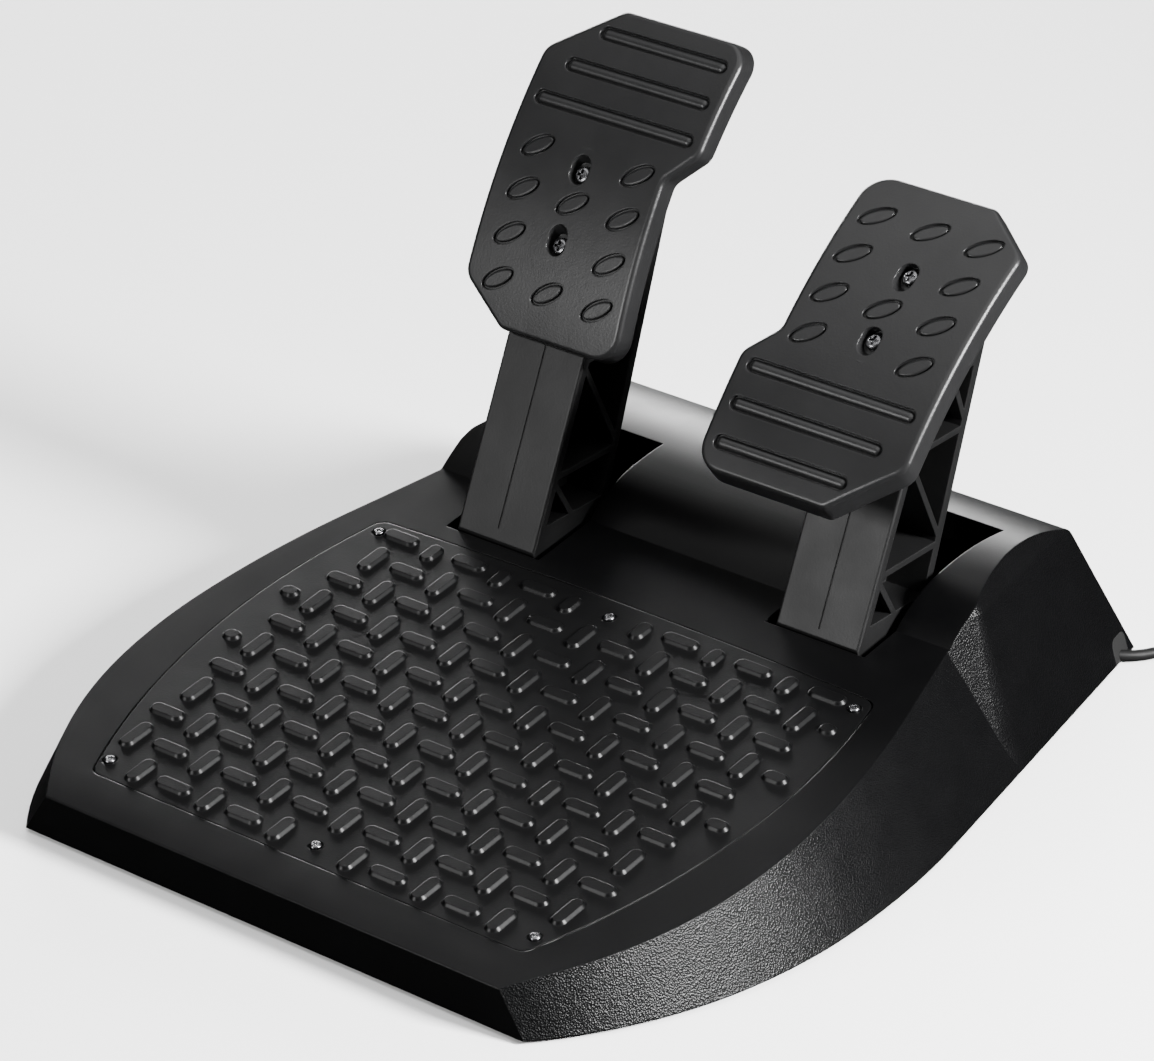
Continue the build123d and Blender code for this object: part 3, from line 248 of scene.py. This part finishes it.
def plated_steel(name, color, roughness):
    material, shader = new_material(name, color, roughness)
    shader.inputs["Metallic"].default_value = 1.0
    vary_color(material, shader, color, 150, 0.15)
    vary_sheen(material, shader, 300, 4, roughness - 0.08, roughness + 0.1)
    bump_chain(material, shader, [(noise(material, 1200, 3), 0.2, 0.00004)])
    return material


def clear_plastic():
    material, shader = new_material("plug_clear", (0.75, 0.78, 0.78), 0.12)
    shader.inputs["Transmission Weight"].default_value = 0.6
    shader.inputs["IOR"].default_value = 1.49
    bump_chain(material, shader, [(noise(material, 300, 2), 0.1, 0.0001)])
    return material


def circuit_board():
    color = (0.012, 0.07, 0.03)
    material, shader = new_material("board_green", color, 0.35)
    vary_color(material, shader, color, 300, 0.5)
    bump_chain(material, shader, [(noise(material, 500, 2), 0.3, 0.0002)])
    return material


def finishes():
    """One material for each of the record's material slots."""
    black = (0.0015, 0.0015, 0.0016)
    arm_black = (0.0035, 0.0035, 0.0036)
    pad_black = (0.007, 0.007, 0.0072)
    return {
        "housing_plastic": grained_plastic(),
        "cover_plastic": plastic("cover_black", black, 0.6, DULL, 1100, 0.0001),
        "tread_plastic": plastic("tread_black", black, 0.34, DULL, 1500, 0.00005),
        "arm_plastic": plastic("arm_black", arm_black, 0.45, ARM_SATIN, 1400, 0.00006),
        "pad_plastic": plastic("pad_black", pad_black, 0.32, PAD_SATIN, 1300, 0.00006),
        "rubber": rubber("rubber_black", (0.006, 0.006, 0.006)),
        "cable_jacket": cable_jacket(),
        "clear_plastic": clear_plastic(),
        "board": circuit_board(),
        "nylon": plastic("nylon_natural", (0.62, 0.60, 0.55), 0.45, 0.5, 1000, 0.00008),
        "spring_steel": plated_steel("spring_steel", (0.45, 0.45, 0.46), 0.32),
        "steel": plated_steel("zinc_steel", (0.5, 0.5, 0.52), 0.3),
        "black_steel": plated_steel("black_steel", (0.13, 0.13, 0.135), 0.25),
    }


def paint_frame(finish):
    for part in frame["record"]["subparts"]:
        node = frame["nodes"][part["node"]]
        slot = "black_steel" if part["node"] in BLACK_SCREWS else part["material_slot"]
        node.data.materials.clear()
        node.data.materials.append(finish[slot])


# ---- cable --------------------------------------------------------------------------------
def coil_centre():
    low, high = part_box("cable_coil")
    return ((low[0] + high[0]) / 2 / MM, (low[1] + high[1]) / 2 / MM)


def part_way(start, end, share):
    """From start to end as share goes from 0 to 1, and no further."""
    return start + (end - start) * min(max(share, 0), 1)


def coil_points():
    """Control points of the wound part, turn after turn from the outside in and back."""
    cx, cy = coil_centre()
    rings = [(radius, height) for height, row in COIL_LAYERS for radius in row]
    points = []
    for k in range(1, int(COIL_TURNS * COIL_STEPS) + 1):
        turn = k / COIL_STEPS
        ring = int(turn)
        past = turn - ring
        radius_before = rings[max(ring - 1, 0)][0]
        radius, height = rings[ring]
        height_after = rings[min(ring + 1, len(rings) - 1)][1]
        radius = part_way(radius_before, radius, past / SHIFT_END)
        height = part_way(height, height_after, (past - CLIMB_START) / (1 - CLIMB_START))
        angle = math.pi - turn * 2 * math.pi
        points.append((cx + radius * math.cos(angle), cy + radius * math.sin(angle), height))
    return points


def nurbs_curve(name, points, radius):
    data = bpy.data.curves.new(name, "CURVE")
    data.dimensions = "3D"
    data.bevel_depth = radius * MM
    data.bevel_resolution = 5
    data.resolution_u = 6
    data.use_fill_caps = True
    spline = data.splines.new("NURBS")
    spline.points.add(len(points) - 1)
    for point, place in zip(spline.points, points):
        point.co = (*[c * MM for c in place], 1)
    spline.order_u = 3
    spline.use_endpoint_u = True
    piece = bpy.data.objects.new(name, data)
    bpy.context.scene.collection.objects.link(piece)
    return piece


def make_cable(finish):
    points = CABLE_ROUTE + coil_points() + TAIL_ROUTE
    cable = nurbs_curve("pedal_cable", points, CABLE_DIAMETER / 2)
    cable.data.materials.append(finish["cable_jacket"])
    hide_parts("signal_cable", "cable_tail", "cable_coil")
    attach(cable, "base")


# ---- return springs -----------------------------------------------------------------------
def make_springs(finish):
    """Coil springs: copies of the return springs in spring steel, in place of the CAD springs."""
    for pedal in ("brake", "accelerator"):
        node = pedal + "_return_spring"
        spring = bpy.data.objects.new(pedal + "_spring_coil", frame["nodes"][node].data.copy())
        spring.data.materials.clear()
        spring.data.materials.append(finish["spring_steel"])
        bpy.context.scene.collection.objects.link(spring)
        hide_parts(node)
        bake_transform(spring)


# ---- stage --------------------------------------------------------------------------------
def direction(azimuth, elevation):
    """Unit vector from the object outwards; azimuth 0 is the front, 90 the right."""
    a = math.radians(azimuth)
    e = math.radians(elevation)
    return Vector((math.sin(a) * math.cos(e), -math.cos(a) * math.cos(e), math.sin(e)))


def make_camera():
    back = direction(CAMERA_AZIMUTH, CAMERA_ELEVATION)
    camera = bpy.data.objects.new("camera", bpy.data.cameras.new("camera"))
    turn = back.to_track_quat("Z", "Y").to_matrix().to_4x4()
    roll = Matrix.Rotation(math.radians(CAMERA_ROLL), 4, "Z")
    place = Vector(LOOK_AT) * MM + back * CAMERA_DISTANCE * MM
    camera.matrix_world = Matrix.Translation(place) @ turn @ roll
    camera.data.sensor_fit = "HORIZONTAL"
    camera.data.lens = CAMERA_LENS
    camera.data.clip_start = 0.05
    bpy.context.scene.collection.objects.link(camera)
    bpy.context.scene.camera = camera


def make_lights():
    aim = Vector(LIGHT_AIM)
    for name, azimuth, elevation, distance, size, power in LIGHTS:
        data = bpy.data.lights.new(name, "AREA")
        data.shape = "RECTANGLE"
        data.size, data.size_y = size
        data.energy = power
        lamp = bpy.data.objects.new(name, data)
        out = direction(azimuth, elevation)
        turn = out.to_track_quat("Z", "Y").to_matrix().to_4x4()
        lamp.matrix_world = Matrix.Translation(aim + out * distance) @ turn
        bpy.context.scene.collection.objects.link(lamp)
    world = bpy.data.worlds.new("studio")
    world.use_nodes = True
    background = world.node_tree.nodes["Background"]
    background.inputs["Color"].default_value = (1, 1, 1, 1)
    background.inputs["Strength"].default_value = WORLD_STRENGTH
    bpy.context.scene.world = world


def make_floor():
    """Pale floor under the object, left out of the object's reflections."""
    mesh = bpy.data.meshes.new("floor")
    grid = bmesh.new()
    bmesh.ops.create_grid(grid, x_segments=1, y_segments=1, size=FLOOR_SIZE)
    grid.to_mesh(mesh)
    floor = bpy.data.objects.new("floor", mesh)
    floor.location = (0, 0, cad_box[0][2])
    material, _ = new_material("floor_pale", FLOOR_COLOR, 0.6)
    mesh.materials.append(material)
    bpy.context.scene.collection.objects.link(floor)
    floor.visible_glossy = False


def main():
    finish = finishes()
    make_camera()
    make_cable(finish)
    paint_frame(finish)
    make_springs(finish)
    make_lights()
    make_floor()


main()
